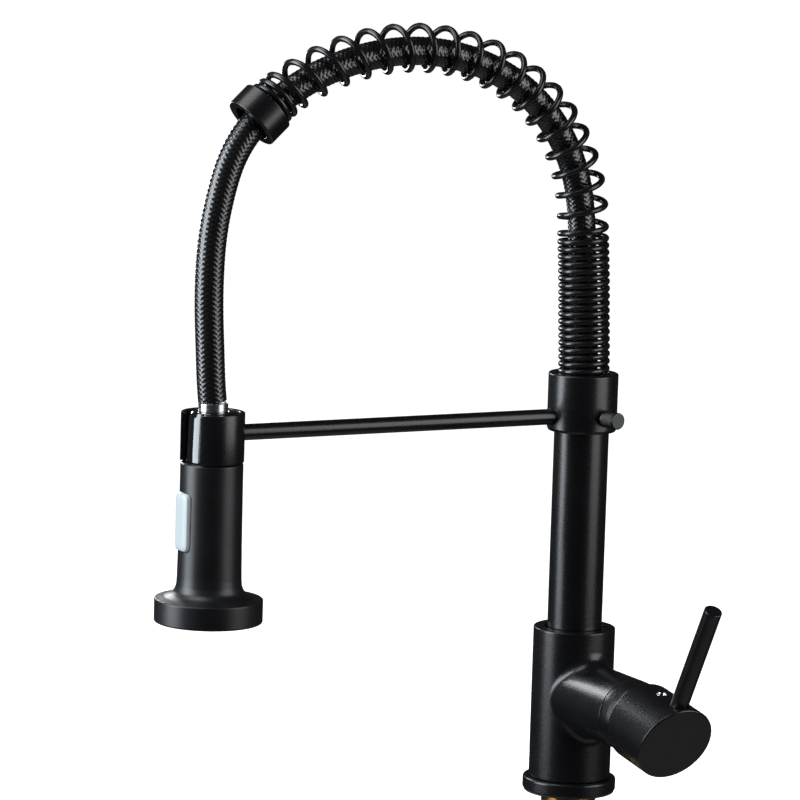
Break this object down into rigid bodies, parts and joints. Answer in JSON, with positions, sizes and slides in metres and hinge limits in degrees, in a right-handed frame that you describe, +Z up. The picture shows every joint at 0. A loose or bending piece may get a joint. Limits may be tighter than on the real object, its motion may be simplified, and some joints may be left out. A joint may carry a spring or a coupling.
{
  "type": "pull down kitchen faucet",
  "caption": "Spring arch kitchen faucet with side lever, docking arm with open ring, braided hose and a pull down spray head with a mode button.",
  "frame": {"origin": "on the deck surface at the valve body's vertical axis", "axes": "+Z up along the column, the spray head towards -Y, the handle branch towards +X"},
  "size_m": [0.1867, 0.296, 0.5116],
  "materials": {
    "matte_black": "satin matte black coat on brass and zinc",
    "matte_black_plastic": "satin matte black moulded plastic",
    "gloss_black": "polished black plastic",
    "black_spring_steel": "semi-gloss black coated spring wire",
    "braid_black": "woven black nylon braid",
    "steel": "bright stainless steel",
    "chrome": "bright plated",
    "brass": "machined brass",
    "ceramic": "lapped ceramic",
    "rubber": "soft black rubber",
    "grey_plastic": "moulded grey plastic",
    "pale_button": "pale grey-blue satin plastic",
    "grey_silicone": "grey silicone"
  },
  "bodies": {
    "base": {"base_gasket": "rubber", "base_ring": "matte_black", "valve_body": "matte_black", "mounting_shank": "brass", "clamp_rubber_washer": "rubber", "clamp_steel_washer": "steel", "mounting_nut": "brass", "column_set_screw": "steel", "swivel_bush_lower": "grey_plastic", "swivel_seal": "rubber", "swivel_bush_upper": "grey_plastic", "cartridge_seal": "rubber", "cartridge_housing": "grey_plastic", "cartridge_fixed_disc": "ceramic", "cartridge_nut": "brass", "bonnet": "matte_black"},
    "spout": {"column_tube": "matte_black", "arm_collar": "matte_black", "spring_seat": "grey_plastic", "hose_connector": "brass", "docking_arm": "matte_black", "docking_ring": "matte_black", "support_spring": "black_spring_steel", "spring_end_cap": "matte_black", "spray_hose": "braid_black"},
    "collar_lock": {"thumb_screw": "matte_black"},
    "mixing_rotor": {"cartridge_rotor": "grey_plastic", "cartridge_pin": "steel"},
    "mixing_disc": {"cartridge_moving_disc": "ceramic"},
    "handle": {"cartridge_stem": "brass", "handle_cap": "matte_black", "handle_lever": "matte_black", "handle_set_screw": "steel", "handle_plug": "chrome"},
    "spray_head": {"head_neck": "gloss_black", "hose_ferrule": "steel", "neck_washer": "rubber", "head_shell": "matte_black_plastic", "head_core": "grey_plastic", "face_plate": "grey_plastic", "nozzle_mat": "grey_silicone", "flow_spreader": "grey_plastic", "aerator": "grey_plastic", "button_pin": "steel", "check_valve": "grey_plastic"},
    "mode_button": {"spray_button": "pale_button"},
    "diverter": {"diverter_spool": "brass"}
  },
  "joints": [
    {"name": "spout_swivel", "type": "hinge", "parent": "base", "child": "spout", "pos_m": [0, 0, 0.09], "axis": [0, 0, 1], "continuous": true},
    {"name": "thumb_screw_turn", "type": "hinge", "parent": "spout", "child": "collar_lock", "pos_m": [0.02954, 0.00521, 0.2239], "axis": [0.9848, 0.1736, 0], "continuous": true},
    {"name": "temperature_turn", "type": "hinge", "parent": "base", "child": "mixing_rotor", "pos_m": [0.05, 0, 0.0586], "axis": [1, 0, 0], "range_deg": [-45, 45]},
    {"name": "handle_lift", "type": "hinge", "parent": "mixing_rotor", "child": "handle", "pos_m": [0.076, 0, 0.0586], "axis": [0, 1, 0], "range_deg": [-8.5, 13.5]},
    {"name": "moving_disc_slide", "type": "slide", "parent": "mixing_rotor", "child": "mixing_disc", "axis": [0, 0, 1], "range_m": [-0.0031, 0.0049]},
    {"name": "head_pull", "type": "slide", "parent": "spout", "child": "spray_head", "axis": [0, 0, -1], "range_m": [0, 0.04], "stiffness_N_per_m": 60, "springref_m": -0.06, "deforming": ["spray_hose"]},
    {"name": "mode_button_rock", "type": "hinge", "parent": "spray_head", "child": "mode_button", "pos_m": [0, -0.2512, 0.17425], "axis": [1, 0, 0], "range_deg": [-3, 3]},
    {"name": "diverter_slide", "type": "slide", "parent": "spray_head", "child": "diverter", "axis": [0, 0, 1], "range_m": [-0.0015, 0.0015]}
  ],
  "couplings": [
    {"joint": "moving_disc_slide", "follows": "handle_lift", "m_per_rad": 0.0203},
    {"joint": "diverter_slide", "follows": "mode_button_rock", "m_per_rad": 0.028}
  ]
}
